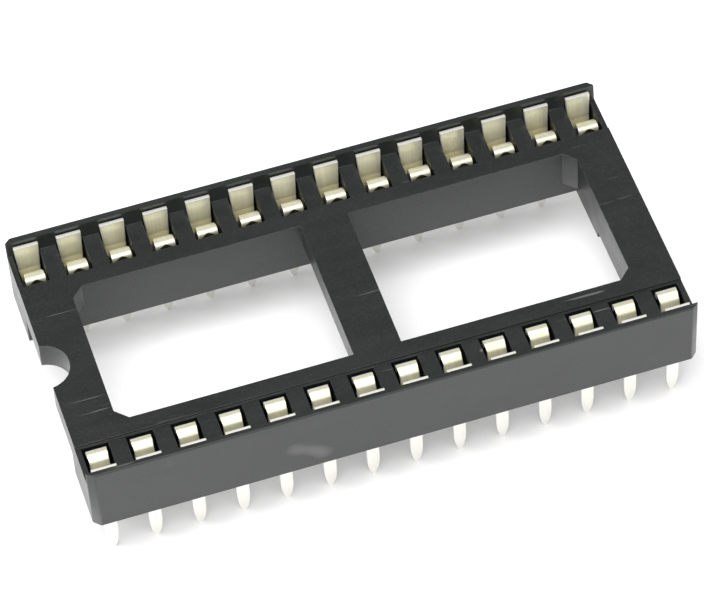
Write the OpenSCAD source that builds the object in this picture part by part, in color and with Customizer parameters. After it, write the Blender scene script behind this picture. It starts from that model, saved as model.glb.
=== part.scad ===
// Dual-leaf integrated circuit socket with an open ladder frame.
// X runs along the two rows of contacts, Y across them and Z up. The origin is in the middle
// of the part, on the surface that the tails' tips stand on. The frame is one moulding, and
// each contact is one stamped and bent strip that sits in a pocket of its own.

/* [Contact grid] */
// Number of contacts in each row
contacts_per_row = 14; // [4:1:20]
// Spacing of the contacts along a row
pitch = 2.54; // [2.4:0.02:3]
// Distance between the two rows of tails
row_spacing = 15.24; // [12:0.02:18]

/* [Frame body] */
// Length of frame past the centre of the last contact
end_margin = 1.09; // [0.95:0.01:2.5]
// Distance from a row of tails out to the side of the frame
row_to_side = 1.28; // [1.15:0.01:2]
// Distance from a row of tails in to the edge of the windows
row_to_window = 2.7; // [2:0.01:4]
// Height of the flat top above the seating plane
top_height = 3.56; // [3.3:0.01:5]
// Height of the outer lips above the flat top
lip_rise = 0.96; // [0.7:0.01:2]
// Thickness of the outer lips
lip_t = 0.47; // [0.3:0.01:0.8]
// Chamfer on the four upright corners of the frame
corner_chamfer = 0.4; // [0.1:0.05:0.8]
// Chamfer along the outer top edge of each lip
lip_edge_chamfer = 0.08; // [0.02:0.01:0.15]

/* [Bars and windows] */
// Width of the end bar that carries the notch
notch_bar_w = 2.72; // [2.2:0.01:5]
// Width of the plain end bar
plain_bar_w = 2.5; // [1.8:0.01:5]
// Width of the middle bar
middle_bar_w = 2.77; // [1.5:0.01:5]
// Thickness of the notched end bar
notch_bar_t = 1.7; // [1:0.05:3]
// Thickness of the middle bar
middle_bar_t = 1.55; // [1:0.05:3]
// Thickness of the plain end bar
plain_bar_t = 2.6; // [1:0.05:3]
// Extra thickness under the far half of the plain end bar
gate_pad_t = 0.45; // [0.1:0.05:0.6]
// Where that thicker half starts, measured from the middle of the bar
gate_pad_start = 0.8; // [-2:0.1:3]
// Chamfer in the corners where an end bar meets the rails
window_chamfer = 0.7; // [0.2:0.05:1.5]
// Radius of the half-round polarity notch
notch_r = 1.53; // [0.8:0.01:2]
// How far outside the end face the notch is centred
notch_offset = 0.19; // [0:0.01:0.5]

/* [Pockets] */
// Width of a pocket along its row
pocket_w = 1.55; // [1.5:0.01:1.9]
// Distance from a row of tails in to the inner wall of its pockets
row_to_pocket_end = 1.57; // [1.4:0.01:1.9]
// Thickness of the floor under a pocket
pocket_floor_t = 0.41; // [0.2:0.01:1]
// Depth of the shallow recess that the pockets open into
recess_depth = 0.14; // [0.05:0.01:0.5]
// Distance from the inner wall of a pocket in to the edge of that recess
recess_margin = 0.12; // [0.05:0.01:0.5]
// Clearance on each side of a tail in its slot through the floor
slot_clearance = 0.04; // [0.01:0.01:0.1]

/* [Contact strip] */
// Thickness of the strip
strip_t = 0.22; // [0.15:0.01:0.3]
// Width of the outer leaf at its top edge
outer_leaf_w = 1.42; // [1.1:0.01:1.48]
// Width of the outer leaf where its tapered part ends
outer_knee_w = 0.9; // [0.75:0.01:1.2]
// Width of the inner leaf at its curled top
inner_top_w = 1.16; // [0.9:0.01:1.4]
// Width of the inner leaf at its waist, under the curl
inner_waist_w = 1.09; // [0.8:0.01:1.3]
// Distance of that waist below the crest
waist_drop = 0.38; // [0.2:0.01:0.6]
// Width of the base that joins the two leaves
base_w = 1.2; // [0.9:0.01:1.4]
// Top edge of the outer leaf below the top of the lip
outer_leaf_drop = 0.32; // [0.1:0.01:0.6]
// Crest of the inner leaf below the flat top of the frame
inner_crest_drop = 0.02; // [0:0.01:0.4]
// Height of the two contact points above the seating plane
grip_height = 1.75; // [1.4:0.01:2]
// Gap between the two leaves at their contact points
grip_gap = 0.2; // [0.1:0.01:0.3]
// Width of the base between the middles of the leaves
base_span = 0.9; // [0.7:0.01:1.1]
// Height over which the outer leaf leans in from the wall to its contact point
outer_lean_rise = 0.5; // [0.3:0.01:1]
// Distance of the curled tip's outer face from the inner wall of the pocket
curl_clearance = 0.19; // [0.05:0.01:0.3]
// Width of the curled top, between the middles of its two sides
curl_span = 0.4; // [0.39:0.01:0.5]
// Radius of the two bends in the curl, at the middle of the strip
curl_bend_r = 0.23; // [0.15:0.01:0.23]
// Radius of the strip's other bends, at the middle of the strip
bend_r = 0.3; // [0.2:0.05:0.3]
// Length of the curled tip below the crest
curl_drop = 0.6; // [0.35:0.01:0.8]
// Rise of the crescent cut into the curled tip
crescent_rise = 0.35; // [0.1:0.01:0.45]
// Radius of that crescent
crescent_r = 0.55; // [0.4:0.01:0.6]

/* [Tails] */
// Length of a tail below the seating plane
tail_length = 3.85; // [2.5:0.05:6]
// Width of a tail
tail_w = 0.72; // [0.4:0.01:0.8]
// Length of the rounded point of a tail
tail_point_length = 1.5; // [0.5:0.05:2]

/* [Hidden] */
$fn = 48;
contact_count = 2 * contacts_per_row;

function contact_name(pin) = str("contact_", pin < 10 ? "0" : "", pin);

// Frame sizes that follow from the ones above.
frame_l = (contacts_per_row - 1) * pitch + 2 * end_margin;
frame_w = row_spacing + 2 * row_to_side;
lip_top = top_height + lip_rise;
recess_floor = top_height - recess_depth;
window_half_w = row_spacing / 2 - row_to_window;
window_l = (frame_l - notch_bar_w - plain_bar_w - middle_bar_w) / 2;
middle_bar_start = -frame_l / 2 + notch_bar_w + window_l;
overcut = 1;

// Distances out from the row line, towards the side of the frame.
wall_face = row_to_side - lip_t;
recess_edge = -row_to_pocket_end - recess_margin;

// Centre line of the bent strip, as distances out from the row line and heights.
base_height = pocket_floor_t + strip_t / 2;
grip_offset = (grip_gap + strip_t) / 2;
wall_offset = wall_face - strip_t / 2;
outer_leaf_top = lip_top - outer_leaf_drop;
lean_top = grip_height + outer_lean_rise;
crest_height = top_height - inner_crest_drop;
crest_line = crest_height - strip_t / 2;
curl_offset = -row_to_pocket_end + curl_clearance + strip_t / 2;
curl_tip = crest_height - curl_drop;
shoulder_offset = curl_offset + curl_span;
waist_height = crest_height - waist_drop;
arc_step = 18;
tip_angles = [0 : 16 : 80];

// Stations along a path of straight runs whose corners are rounded to the given radii.
// A station is [point, unit normal to the left of the path].
function unit(v) = v / norm(v);
function left_of(v) = [-v.y, v.x];
function turn(a, b) = atan2(a.x * b.y - a.y * b.x, a * b);
function rotated(v, angle) = [v.x * cos(angle) - v.y * sin(angle), v.x * sin(angle) + v.y * cos(angle)];
function rounded_corner(before, corner, after, radius) =
    let (way_in = unit(corner - before),
         angle = turn(way_in, after - corner),
         to_centre = sign(angle) * radius * left_of(way_in),
         centre = corner - way_in * radius * tan(abs(angle) / 2) + to_centre,
         steps = ceil(abs(angle) / arc_step))
    [for (i = [0 : steps])
        [centre - rotated(to_centre, angle * i / steps), rotated(left_of(way_in), angle * i / steps)]];
function rounded_path(points, radii) =
    let (last = len(points) - 1)
    concat([[points[0], left_of(unit(points[1] - points[0]))]],
           [for (i = [1 : last - 1])
               each rounded_corner(points[i - 1], points[i], points[i + 1], radii[i - 1])],
           [[points[last], left_of(unit(points[last] - points[last - 1]))]]);

// Outline of a strip of even thickness whose middle follows the given stations.
function strip_outline(stations) =
    concat([for (station = stations) station[0] + station[1] * strip_t / 2],
           [for (i = [len(stations) - 1 : -1 : 0]) stations[i][0] - stations[i][1] * strip_t / 2]);

outer_leaf_path = rounded_path(
    [[0, base_height], [base_span / 2, base_height], [grip_offset, grip_height],
     [wall_offset, lean_top], [wall_offset, outer_leaf_top]],
    [bend_r, bend_r, bend_r]);
inner_leaf_path = rounded_path(
    [[0, base_height], [-base_span / 2, base_height], [-grip_offset, grip_height],
     [shoulder_offset, crest_line], [curl_offset, crest_line], [curl_offset, curl_tip]],
    [bend_r, bend_r, curl_bend_r, curl_bend_r]);

// Extrudes an outline of [distance out from the row line, height] along the row.
module along_row(length) {
    rotate([90, 0, 90]) linear_extrude(length, center = true) children();
}

// Extrudes an outline of [place along the row, height] across the row, over the pocket's reach.
module across_row() {
    rotate([90, 0, 0]) linear_extrude(4 * row_to_side, center = true) children();
}

// An outline that is the same on both sides of the contact's middle, from [height, width] pairs.
module mirrored_outline(levels) {
    count = len(levels);
    polygon(concat([for (i = [0 : count - 1]) [levels[i][1] / 2, levels[i][0]]],
                   [for (i = [count - 1 : -1 : 0]) [-levels[i][1] / 2, levels[i][0]]]));
}

module rail_section() {
    polygon([[-row_to_window, 0],
             [row_to_side, 0],
             [row_to_side, lip_top - lip_edge_chamfer],
             [row_to_side - lip_edge_chamfer, lip_top],
             [wall_face, lip_top],
             [wall_face, recess_floor],
             [recess_edge, recess_floor],
             [recess_edge, top_height],
             [-row_to_window, top_height]]);
}

// Plan outline of the whole frame, with its corners chamfered.
module frame_outline() {
    x = frame_l / 2;
    y = frame_w / 2;
    c = corner_chamfer;
    polygon([[-x + c, -y], [x - c, -y], [x, -y + c], [x, y - c],
             [x - c, y], [-x + c, y], [-x, y - c], [-x, -y + c]]);
}

// An end bar reaches from the end of the frame to its window, with chamfered inner corners.
module end_bar(width, thickness) {
    y = window_half_w;
    c = window_chamfer;
    translate([0, 0, top_height - thickness])
        linear_extrude(thickness)
            polygon([[0, -y - overcut], [width + c, -y - overcut], [width + c, -y], [width, -y + c],
                     [width, y - c], [width + c, y], [width + c, y + overcut], [0, y + overcut]]);
}

module middle_bar() {
    translate([middle_bar_start, -window_half_w - overcut, top_height - middle_bar_t])
        cube([middle_bar_w, 2 * (window_half_w + overcut), middle_bar_t]);
}

// The thicker half of the plain end bar.
module gate_pad() {
    translate([0, gate_pad_start, top_height - plain_bar_t - gate_pad_t])
        cube([plain_bar_w, window_half_w + overcut - gate_pad_start, gate_pad_t + overcut / 2]);
}

// A pocket with its tail slot, for a contact at the origin of the row.
module pocket() {
    slot_w = tail_w + 2 * slot_clearance;
    slot_t = strip_t + 2 * slot_clearance;
    translate([-pocket_w / 2, -row_to_pocket_end, pocket_floor_t])
        cube([pocket_w, row_to_pocket_end + wall_face, top_height]);
    translate([-slot_w / 2, -slot_t / 2, -overcut])
        cube([slot_w, slot_t, pocket_floor_t + 2 * overcut]);
}

// Puts a thing drawn for the far row at one pin: pins 1 up run along the near row, then back.
module at_pin(pin) {
    near = pin <= contacts_per_row;
    column = near ? pin - 1 : contact_count - pin;
    x = (column - (contacts_per_row - 1) / 2) * pitch;
    translate([x, 0, 0])
        mirror([0, near ? 1 : 0, 0])
            translate([0, row_spacing / 2, tail_length]) children();
}

module frame() {
    color([0.16, 0.17, 0.18])
        difference() {
            translate([0, 0, tail_length])
                intersection() {
                    union() {
                        for (side = [0, 1])
                            mirror([0, side, 0])
                                translate([0, row_spacing / 2, 0])
                                    along_row(frame_l) rail_section();
                        translate([-frame_l / 2, 0, 0]) end_bar(notch_bar_w, notch_bar_t);
                        translate([frame_l / 2, 0, 0]) mirror([1, 0, 0]) {
                            end_bar(plain_bar_w, plain_bar_t);
                            gate_pad();
                        }
                        middle_bar();
                    }
                    linear_extrude(lip_top + overcut) frame_outline();
                }
            for (pin = [1 : contact_count])
                at_pin(pin) pocket();
            translate([-frame_l / 2 - notch_offset, 0, tail_length])
                cylinder(r = notch_r, h = top_height + overcut);
        }
}

module outer_leaf() {
    intersection() {
        along_row(pocket_w) polygon(strip_outline(outer_leaf_path));
        across_row() mirrored_outline([[0, base_w],
                                       [grip_height - bend_r, outer_knee_w],
                                       [grip_height + bend_r, outer_knee_w],
                                       [lean_top + bend_r, outer_leaf_w - strip_t],
                                       [outer_leaf_top, outer_leaf_w]]);
    }
}

module inner_leaf() {
    difference() {
        intersection() {
            along_row(pocket_w) polygon(strip_outline(inner_leaf_path));
            across_row() mirrored_outline([[0, base_w],
                                           [grip_height, base_w],
                                           [waist_height, inner_waist_w],
                                           [crest_height, inner_top_w]]);
        }
        translate([0, curl_offset, curl_tip + crescent_rise - crescent_r])
            rotate([90, 0, 0]) cylinder(r = crescent_r, h = 2 * strip_t, center = true);
    }
}

module tail() {
    point_start = -tail_length + tail_point_length;
    rounded_point = [for (angle = tip_angles)
        [point_start - tail_point_length * sin(angle), tail_w * cos(angle)]];
    intersection() {
        translate([-tail_w / 2, -strip_t / 2, -tail_length])
            cube([tail_w, strip_t, tail_length + base_height]);
        across_row() mirrored_outline(concat([[base_height + overcut, tail_w]],
                                             rounded_point,
                                             [[-tail_length, strip_t / 2]]));
    }
}

module contact(pin) {
    color([0.78, 0.75, 0.66])
        at_pin(pin) {
            outer_leaf();
            inner_leaf();
            tail();
        }
}

frame();
for (pin = [1 : contact_count])
    contact(pin);
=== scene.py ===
"""Looks of the dual-leaf integrated circuit socket: moulded frame, tinned contacts, camera and light."""

import math
import random

import bmesh
import bpy
from mathutils import Matrix, Vector


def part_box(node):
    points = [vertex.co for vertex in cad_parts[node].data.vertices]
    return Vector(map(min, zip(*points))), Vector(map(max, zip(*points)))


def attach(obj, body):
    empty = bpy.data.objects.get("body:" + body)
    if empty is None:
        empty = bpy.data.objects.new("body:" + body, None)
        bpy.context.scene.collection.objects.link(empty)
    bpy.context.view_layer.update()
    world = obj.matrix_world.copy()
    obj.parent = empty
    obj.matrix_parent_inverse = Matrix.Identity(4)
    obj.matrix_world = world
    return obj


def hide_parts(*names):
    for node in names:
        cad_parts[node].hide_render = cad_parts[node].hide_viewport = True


MM = 0.001

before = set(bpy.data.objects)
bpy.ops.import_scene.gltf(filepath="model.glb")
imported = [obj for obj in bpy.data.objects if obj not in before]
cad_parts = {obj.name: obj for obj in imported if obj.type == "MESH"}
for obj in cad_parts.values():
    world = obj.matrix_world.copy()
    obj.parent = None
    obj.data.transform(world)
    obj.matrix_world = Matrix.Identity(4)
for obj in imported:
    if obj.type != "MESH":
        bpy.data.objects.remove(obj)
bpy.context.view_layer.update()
scene = bpy.context.scene


# ---------------------------------------------------------------- node helpers
class Nodes:
    """A small builder for a material's or world's node tree."""

    def __init__(self, tree):
        self.tree = tree
        tree.nodes.clear()

    def add(self, kind, inputs=None, **settings):
        node = self.tree.nodes.new(kind)
        for name, value in settings.items():
            setattr(node, name, value)
        for name, value in (inputs or {}).items():
            self.set(node.inputs[name], value)
        return node

    def set(self, socket, value):
        if isinstance(value, bpy.types.NodeSocket):
            self.tree.links.new(value, socket)
        else:
            socket.default_value = value

    def math(self, operation, a, b=0.0, clamp=False):
        node = self.add("ShaderNodeMath", operation=operation, use_clamp=clamp)
        self.set(node.inputs[0], a)
        self.set(node.inputs[1], b)
        return node.outputs[0]

    def mapped(self, value, low, high, to_low, to_high):
        node = self.add("ShaderNodeMapRange", clamp=True)
        for name, number in (("Value", value), ("From Min", low), ("From Max", high),
                             ("To Min", to_low), ("To Max", to_high)):
            self.set(node.inputs[name], number)
        return node.outputs["Result"]

    def mix(self, factor, a, b):
        node = self.add("ShaderNodeMix", data_type="RGBA", blend_type="MIX")
        self.set(node.inputs[0], factor)
        self.set(node.inputs[6], a)
        self.set(node.inputs[7], b)
        return node.outputs[2]

    def noise(self, vector, scale, detail=3.0, rough=0.55):
        node = self.add("ShaderNodeTexNoise", {"Vector": vector, "Scale": scale, "Detail": detail, "Roughness": rough})
        return node.outputs["Fac"]

    def grey(self, value):
        return self.add("ShaderNodeCombineColor", {"Red": value, "Green": value, "Blue": value}).outputs[0]

    def scaled(self, vector, factors, turn=(0, 0, 0)):
        node = self.add("ShaderNodeMapping", {"Vector": vector, "Scale": factors, "Rotation": turn})
        return node.outputs["Vector"]


def new_material(name):
    material = bpy.data.materials.new(name)
    material.use_nodes = True
    return material, Nodes(material.node_tree)


def grey(value):
    return (value, value, value, 1.0)


# ---------------------------------------------------------------- materials
def moulded_plastic():
    """Black glass-filled plastic: satin, with a fine grain, faint flow marks, hair scratches and dust."""
    material, n = new_material("moulded_housing")
    place = n.add("ShaderNodeTexCoord").outputs["Object"]
    cloud = n.noise(place, 260.0, 4.0)
    grain = n.noise(place, 9000.0, 3.0, 0.6)
    flow = n.noise(n.scaled(place, (150.0, 900.0, 900.0)), 1.0, 3.0)
    colour = n.mix(n.mapped(cloud, 0.3, 0.7, 0.0, 1.0), (0.006, 0.008, 0.007, 1), (0.010, 0.012, 0.011, 1))
    colour = n.mix(n.mapped(grain, 0.50, 0.75, 0.0, 0.55), colour, (0.034, 0.037, 0.037, 1))
    # Hair scratches: thin stretched noise, cut to its crests, in two directions.
    marks = []
    for turn, across in ((0.55, 5200.0), (-0.9, 6400.0)):
        hair = n.noise(n.scaled(place, (170.0, across, 300.0), (0, 0, turn)), 1.0, 1.0, 0.3)
        patch = n.noise(n.scaled(place, (1, 1, 1), (0, 0, turn)), 330.0, 1.0)
        marks.append(n.math("MULTIPLY", n.mapped(hair, 0.735, 0.79, 0.0, 1.0), n.mapped(patch, 0.52, 0.62, 0.0, 1.0)))
    scratches = n.math("MAXIMUM", marks[0], marks[1])
    colour = n.mix(n.math("MULTIPLY", scratches, 0.35), colour, (0.20, 0.20, 0.20, 1))
    dust = n.add("ShaderNodeTexVoronoi", {"Vector": place, "Scale": 520.0, "Randomness": 1.0})
    specks = n.mapped(dust.outputs["Distance"], 0.035, 0.075, 1.0, 0.0)
    chosen = n.add("ShaderNodeSeparateColor", {"Color": dust.outputs["Color"]}).outputs["Red"]
    specks = n.math("MULTIPLY", specks, n.mapped(chosen, 0.86, 0.88, 0.0, 1.0))
    colour = n.mix(n.math("MULTIPLY", specks, 0.6), colour, (0.42, 0.42, 0.41, 1))
    rough = n.mapped(flow, 0.3, 0.7, 0.30, 0.38)
    rough = n.math("ADD", rough, n.math("MULTIPLY", scratches, 0.12), clamp=True)
    height = n.math("ADD", n.math("MULTIPLY", grain, 0.5), n.math("MULTIPLY", cloud, 1.2))
    height = n.math("SUBTRACT", height, n.math("MULTIPLY", scratches, 0.6))
    bump = n.add("ShaderNodeBump", {"Height": height, "Strength": 0.8, "Distance": 0.016 * MM})
    shader = n.add("ShaderNodeBsdfPrincipled",
                   {"Base Color": colour, "Roughness": rough, "IOR": 1.62, "Normal": bump.outputs["Normal"]})
    out = n.add("ShaderNodeOutputMaterial")
    n.set(out.inputs["Surface"], shader.outputs["BSDF"])
    return material


def tinned_strip():
    """Satin tin plate on a rolled strip: warm silver with fine draw lines down the leaves."""
    material, n = new_material("tinned_contact")
    place = n.add("ShaderNodeTexCoord").outputs["Object"]
    lines = n.noise(n.scaled(place, (9000.0, 500.0, 260.0)), 1.0, 3.0, 0.6)
    wide = n.noise(n.scaled(place, (2600.0, 300.0, 140.0)), 1.0, 2.0)
    tone = n.noise(place, 900.0, 3.0)
    each = n.noise(place, 190.0, 0.0)
    colour = n.mix(n.mapped(tone, 0.3, 0.7, 0.0, 1.0), (0.74, 0.72, 0.54, 1), (0.84, 0.83, 0.69, 1))
    colour = n.mix(n.mapped(wide, 0.35, 0.65, 0.0, 0.5), colour, (0.66, 0.63, 0.47, 1))
    colour = n.mix(n.mapped(lines, 0.3, 0.7, 0.0, 0.25), colour, (0.52, 0.50, 0.40, 1))
    height = n.add("ShaderNodeSeparateXYZ", {"Vector": place}).outputs["Z"]
    # Painted shade: over the height held inside the housing's pockets, the strip is darkened to a dull olive for the
    # shade the housing casts there.
    pocket_shade = n.mapped(height, 6.0 * MM, 6.7 * MM, 1.0, 0.0)
    pocket_shade = n.math("MULTIPLY", pocket_shade, n.mapped(height, 3.2 * MM, 3.9 * MM, 0.0, 1.0))
    colour = n.mix(n.math("MULTIPLY", pocket_shade, 0.8), colour, (0.55, 0.50, 0.30, 1))
    # Painted highlight and reflection: below the seat the tails are whitened to near white, for the glare on them and
    # the white floor they mirror.
    colour = n.mix(n.mapped(height, 3.5 * MM, 3.85 * MM, 0.8, 0.0), colour, (0.95, 0.94, 0.91, 1))
    rough = n.mapped(n.math("ADD", n.math("MULTIPLY", lines, 0.5), n.math("MULTIPLY", each, 0.5)), 0.3, 0.7, 0.26, 0.42)
    bump = n.add("ShaderNodeBump", {"Height": lines, "Strength": 0.35, "Distance": 0.004 * MM})
    shader = n.add("ShaderNodeBsdfPrincipled",
                   {"Base Color": colour, "Metallic": 0.6, "Roughness": rough, "Normal": bump.outputs["Normal"]})
    out = n.add("ShaderNodeOutputMaterial")
    n.set(out.inputs["Surface"], shader.outputs["BSDF"])
    return material


def cut_edge():
    """The blanked edges of the strip: rougher than its rolled faces, and painted paler and whiter than them as a
    painted highlight for the light the edges catch.
    """
    material, n = new_material("tinned_cut_edge")
    place = n.add("ShaderNodeTexCoord").outputs["Object"]
    shear = n.noise(n.scaled(place, (4200.0, 4200.0, 900.0)), 1.0, 3.0)
    # Painted highlight: this edge colour is kept paler and whiter than the faces' tin.
    colour = n.mix(n.mapped(shear, 0.35, 0.65, 0.0, 1.0), (0.88, 0.87, 0.82, 1), (0.76, 0.75, 0.70, 1))
    rough = n.mapped(shear, 0.3, 0.7, 0.34, 0.5)
    bump = n.add("ShaderNodeBump", {"Height": shear, "Strength": 0.4, "Distance": 0.006 * MM})
    shader = n.add("ShaderNodeBsdfPrincipled",
                   {"Base Color": colour, "Metallic": 0.6, "Roughness": rough, "Normal": bump.outputs["Normal"]})
    out = n.add("ShaderNodeOutputMaterial")
    n.set(out.inputs["Surface"], shader.outputs["BSDF"])
    return material


def paper_floor():
    """White sheet. What the camera and mirrors see of it is lifted to white, and the shadow stays."""
    material, n = new_material("floor_white")
    ray = n.add("ShaderNodeLightPath")
    seen = n.math("MAXIMUM", ray.outputs["Is Camera Ray"], ray.outputs["Is Glossy Ray"])
    seen = n.math("MAXIMUM", seen, ray.outputs["Is Transmission Ray"])
    matt = n.add("ShaderNodeBsdfDiffuse", {"Color": grey(0.88)})
    lift = n.add("ShaderNodeEmission", {"Color": grey(1.0), "Strength": n.math("MULTIPLY", seen, 0.06)})
    both = n.add("ShaderNodeAddShader")
    n.set(both.inputs[0], matt.outputs["BSDF"])
    n.set(both.inputs[1], lift.outputs["Emission"])
    out = n.add("ShaderNodeOutputMaterial")
    n.set(out.inputs["Surface"], both.outputs["Shader"])
    return material


# ---------------------------------------------------------------- pieces
def copy_of_node(node, name):
    """A clean copy of a CAD node's mesh: welded, with its flat faces joined again."""
    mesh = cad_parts[node].data.copy()
    mesh.name = name
    mesh.materials.clear()
    bm = bmesh.new()
    bm.from_mesh(mesh)
    bmesh.ops.remove_doubles(bm, verts=bm.verts, dist=0.0005 * MM)
    bmesh.ops.dissolve_limit(bm, angle_limit=math.radians(0.6), verts=bm.verts, edges=bm.edges)
    return mesh, bm


def soften_edges(bm, radius, segments, least_angle):
    sharp = [e for e in bm.edges if len(e.link_faces) == 2 and e.calc_face_angle(0.0) > math.radians(least_angle)]
    bmesh.ops.bevel(bm, geom=sharp, offset=radius, offset_type="OFFSET", segments=segments,
                    profile=0.5, affect="EDGES", clamp_overlap=True, miter_outer="ARC")


def finish_mesh(mesh, bm, smooth_angle):
    bmesh.ops.triangulate(bm, faces=[f for f in bm.faces if len(f.verts) > 4])
    for face in bm.faces:
        face.smooth = True
    bm.to_mesh(mesh)
    bm.free()
    mesh.set_sharp_from_angle(angle=math.radians(smooth_angle))


def add_piece(name, mesh, node):
    piece = bpy.data.objects.new(name, mesh)
    scene.collection.objects.link(piece)
    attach(piece, "root")
    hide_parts(node)
    return piece


LIP_DRAFT, LIP_DROP = 0.09 * MM, 0.07 * MM
EDGE_R, CORNER_R = 0.045 * MM, 0.13 * MM
CORNER_ZONE = 0.45 * MM


def moulded_frame():
    """The frame with soft moulded edges. The lips' inner faces lean out a little to their tops, for draft."""
    mesh, bm = copy_of_node("frame", "moulded_frame")
    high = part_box("frame")[1]
    for v in bm.verts:
        if v.co.z > high.z - 0.02 * MM and abs(v.co.y) < high.y - 0.3 * MM:
            v.co.y += math.copysign(LIP_DRAFT, v.co.y)
            v.co.z -= LIP_DROP
    bm.normal_update()
    # The two upright edges of each chamfered corner are rounder than the rest.
    upright = [e for e in bm.edges if len(e.link_faces) == 2 and e.calc_face_angle(0.0) > math.radians(25)
               and all(abs(v.co.x) > high.x - CORNER_ZONE and abs(v.co.y) > high.y - CORNER_ZONE for v in e.verts)
               and abs(e.verts[0].co.z - e.verts[1].co.z) > 3 * MM]
    bmesh.ops.bevel(bm, geom=upright, offset=CORNER_R, offset_type="OFFSET", segments=4,
                    profile=0.5, affect="EDGES", clamp_overlap=True)
    soften_edges(bm, EDGE_R, 2, 25)
    finish_mesh(mesh, bm, 40)
    mesh.materials.append(moulded_plastic())
    # Square-on faces are flat, so that only the rounded edges and the lips' drafted faces are shaded smooth.
    for face in mesh.polygons:
        if max(abs(c) for c in face.normal) > 0.9999:
            face.use_smooth = False
    return add_piece("moulded_frame", mesh, "frame")


# The bent strip of a contact, from the outer leaf's top edge to the curled tip of the inner leaf.
# Each row: distance out from the row line, height over the seating plane, bend radius, width.
STRIP_T = 0.22
LEAVES = [(0.67, 4.20, 0.0, 1.43), (0.55, 2.50, 0.30, 1.27), (0.20, 1.75, 0.28, 1.06), (0.43, 0.52, 0.25, 1.20),
          (-0.43, 0.52, 0.25, 1.20), (-0.19, 1.75, 0.30, 1.22), (-0.62, 3.20, 0.14, 1.09), (-0.96, 3.43, 0.18, 1.15),
          (-1.27, 3.41, 0.20, 1.16), (-1.27, 2.96, 0.0, 1.15)]
CRESCENT_R, CRESCENT_RISE = 0.52, 0.40
TAIL_W, TAIL_POINT, TAIL_SWEEP = 0.72, 1.5, 82
TIP_REACH, TIP_ROWS = 0.75, 14
STRIP_EDGE_R = 0.02 * MM
ROW_OUT = 7.62 * MM


def rounded(points):
    """Points along a path whose corners are rounded, each with the width there."""
    out = [(Vector(points[0][:2]), points[0][3])]
    for before, at, after in zip(points, points[1:], points[2:]):
        p, q, r = (Vector(c[:2]) for c in (before, at, after))
        way_in, way_out = (q - p).normalized(), (r - q).normalized()
        turn = way_in.angle_signed(way_out)
        reach = at[2] * math.tan(abs(turn) / 2)
        steps = max(2, round(math.degrees(abs(turn)) / 9))
        for i in range(steps + 1):
            t = i / steps
            out.append(((q - way_in * reach).lerp(q, t).lerp(q.lerp(q + way_out * reach, t), t), at[3]))
    out.append((Vector(points[-1][:2]), points[-1][3]))
    return out


class Path:
    """A path of points with widths that can be read at any length along it."""

    def __init__(self, stations):
        self.stations = stations
        self.at = [0.0]
        for (p, _), (q, _) in zip(stations, stations[1:]):
            self.at.append(self.at[-1] + (q - p).length)

    def read(self, length):
        last = len(self.at) - 2
        i = next((k for k in range(last + 1) if length <= self.at[k + 1]), last)
        (p, w0), (q, w1) = self.stations[i], self.stations[i + 1]
        t = (length - self.at[i]) / (self.at[i + 1] - self.at[i])
        way = (q - p).normalized()
        return p.lerp(q, t), Vector((-way.y, way.x)), w0 + (w1 - w0) * t


def bent_strip(bm, path, columns, ends):
    """A closed strip along the path. ends(u) is how much shorter it is at u, from -1 to 1 across it."""
    total = path.at[-1]
    hold = total - TIP_REACH
    rows = sorted({0.0, *(a for a in path.at if a < hold),
                   *(hold + TIP_REACH * k / TIP_ROWS for k in range(TIP_ROWS + 1))})
    sheets = []
    for side in (0.5, -0.5):
        sheet = []
        for a in rows:
            line = []
            for c in range(columns + 1):
                u = -1 + 2 * c / columns
                reach = total - ends(u)
                length = a if a <= hold else hold + (a - hold) * (reach - hold) / (total - hold)
                p, normal, width = path.read(length)
                p = p + normal * side * STRIP_T
                line.append(bm.verts.new((u * width / 2 * MM, p.x * MM, p.y * MM)))
            sheet.append(line)
        sheets.append(sheet)
    front, back = sheets
    for i in range(len(rows) - 1):
        for c in range(columns):
            bm.faces.new((front[i][c], front[i][c + 1], front[i + 1][c + 1], front[i + 1][c]))
            bm.faces.new((back[i][c], back[i + 1][c], back[i + 1][c + 1], back[i][c + 1]))
        for c in (0, columns):
            bm.faces.new((front[i][c], front[i + 1][c], back[i + 1][c], back[i][c])).material_index = 1
    for i in (0, len(rows) - 1):
        for c in range(columns):
            bm.faces.new((front[i][c], back[i][c], back[i][c + 1], front[i][c + 1])).material_index = 1


def tail_blade(bm, length):
    """The flat solder tail with its rounded point, hung from the base of the leaves."""
    outline = [(TAIL_W / 2, 0.5)]
    for k in range(13):
        angle = math.radians(TAIL_SWEEP * k / 12)
        outline.append((TAIL_W / 2 * math.cos(angle),
                        -length + TAIL_POINT - TAIL_POINT * math.sin(angle) / math.sin(math.radians(TAIL_SWEEP))))
    outline += [(-x, z) for x, z in reversed(outline)]
    rings = [[bm.verts.new((x * MM, y * STRIP_T * MM, z * MM)) for x, z in outline] for y in (-0.5, 0.5)]
    bm.faces.new(rings[0])
    bm.faces.new(list(reversed(rings[1])))
    for i in range(len(outline)):
        k = (i + 1) % len(outline)
        bm.faces.new((rings[0][i], rings[1][i], rings[1][k], rings[0][k])).material_index = 1


def crescent(u):
    """How much shorter the curled tip is across its width: a crescent cut into its middle."""
    x = abs(u) * LEAVES[-1][3] / 2
    centre = CRESCENT_RISE - CRESCENT_R
    return max(0.0, centre + math.sqrt(CRESCENT_R ** 2 - x * x)) if x < CRESCENT_R else 0.0


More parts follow.
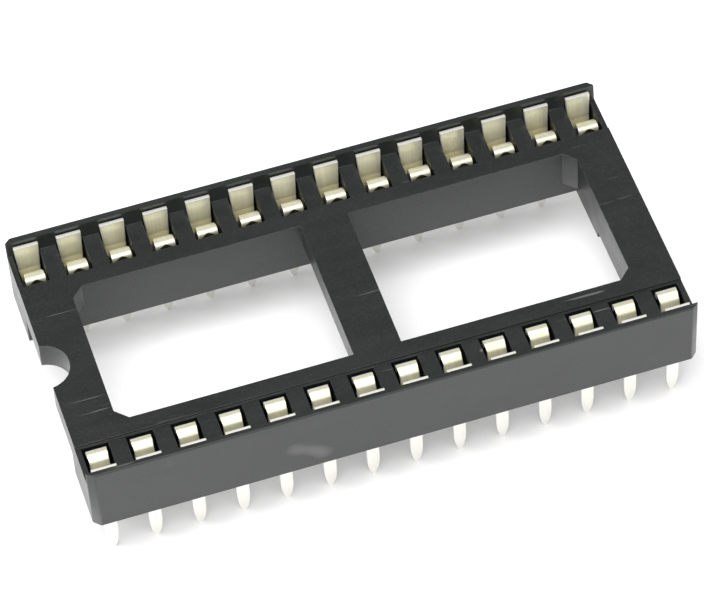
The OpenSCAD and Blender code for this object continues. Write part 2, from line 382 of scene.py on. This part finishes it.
def stamped_contacts():
    """Every contact is the same stamping. Small differences in lean come from a fixed seed."""
    face, edge = tinned_strip(), cut_edge()
    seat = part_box("frame")[0].z
    path = Path(rounded(LEAVES))
    for node in sorted(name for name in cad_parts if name.startswith("contact_")):
        low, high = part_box(node)
        far = low.y > 0
        row = (low.y + high.y) / 2
        bm = bmesh.new()
        bent_strip(bm, path, 28, crescent)
        tail_blade(bm, seat / MM)
        bmesh.ops.recalc_face_normals(bm, faces=bm.faces)
        soften_edges(bm, STRIP_EDGE_R, 2, 50)
        turn = Matrix.Rotation(0.0 if far else math.pi, 4, "Z")
        place = Matrix.Translation(((low.x + high.x) / 2, math.copysign(ROW_OUT, row), seat))
        sway = Matrix.Shear("XY", 4, (random.uniform(-0.006, 0.006), 0.0))
        bmesh.ops.transform(bm, matrix=place @ turn @ sway, verts=bm.verts)
        mesh = bpy.data.meshes.new("stamped_" + node)
        finish_mesh(mesh, bm, 35)
        mesh.materials.append(face)
        mesh.materials.append(edge)
        add_piece("stamped_" + node, mesh, node)


# ---------------------------------------------------------------- studio
def floor():
    bm = bmesh.new()
    bmesh.ops.create_grid(bm, x_segments=8, y_segments=8, size=1.5)
    mesh = bpy.data.meshes.new("floor")
    bm.to_mesh(mesh)
    bm.free()
    mesh.materials.append(paper_floor())
    obj = bpy.data.objects.new("floor", mesh)
    scene.collection.objects.link(obj)


def soft_world():
    world = bpy.data.worlds.new("studio")
    scene.world = world
    world.use_nodes = True
    n = Nodes(world.node_tree)
    ray = n.add("ShaderNodeLightPath")
    way = n.add("ShaderNodeSeparateXYZ", {"Vector": n.add("ShaderNodeTexCoord").outputs["Generated"]})
    up, far = way.outputs["Z"], way.outputs["Y"]
    tent = n.math("ADD", n.mapped(up, 0.0, 1.0, 0.12, 1.10), n.mapped(far, -1.0, 0.0, 0.45, 0.0))
    behind = n.math("MULTIPLY", n.mapped(far, 0.1, 0.5, 0.0, 1.0), n.mapped(up, 0.2, 0.6, 0.0, 1.0))
    mirrored = n.mapped(behind, 0.0, 1.0, 1.0, 0.20)
    level = n.mix(ray.outputs["Is Glossy Ray"], n.grey(tent), n.grey(mirrored))
    level = n.mix(ray.outputs["Is Camera Ray"], level, grey(1.0))
    back = n.add("ShaderNodeBackground", {"Color": level, "Strength": 1.0})
    out = n.add("ShaderNodeOutputWorld")
    n.set(out.inputs["Surface"], back.outputs["Background"])


def lamp(name, place, target, size, watts):
    data = bpy.data.lights.new(name, "AREA")
    data.shape = "RECTANGLE"
    data.size, data.size_y = size
    data.energy = watts
    obj = bpy.data.objects.new(name, data)
    obj.location = place
    obj.rotation_euler = (Vector(target) - Vector(place)).to_track_quat("-Z", "Y").to_euler()
    scene.collection.objects.link(obj)


def camera():
    """The photograph's camera: it looks down at the near side from the notched end's side."""
    azimuth, elevation, roll = (math.radians(a) for a in (-14.538, 51.082, -4.073))
    distance, aside, above = 243.919 * MM, -0.0359 * MM, -1.2955 * MM
    seat = Vector((0, 0, 3.85 * MM))
    back = Vector((math.sin(azimuth) * math.cos(elevation), -math.cos(azimuth) * math.cos(elevation),
                   math.sin(elevation)))
    right = (-back).cross(Vector((0, 0, 1))).normalized()
    up = right.cross(-back)
    turned_right = math.cos(roll) * right + math.sin(roll) * up
    turned_up = -math.sin(roll) * right + math.cos(roll) * up
    turn = Matrix((turned_right, turned_up, back)).transposed()
    data = bpy.data.cameras.new("camera")
    data.sensor_width = 36.0
    data.lens = 220.26
    data.clip_start, data.clip_end = 0.01, 10.0
    data.dof.use_dof = False
    obj = bpy.data.objects.new("camera", data)
    obj.matrix_world = Matrix.Translation(seat + turn @ Vector((-aside, -above, distance))) @ turn.to_4x4()
    scene.collection.objects.link(obj)
    scene.camera = obj


random.seed(5)
camera()
moulded_frame()
stamped_contacts()
floor()
soft_world()
lamp("key", (-0.12, -0.12, 0.5), (0, 0, 0), (0.4, 0.4), 2.6)
lamp("left", (-0.5, 0.12, 0.12), (0, 0, 0), (0.3, 0.2), 1.3)
scene.view_settings.view_transform = "Standard"
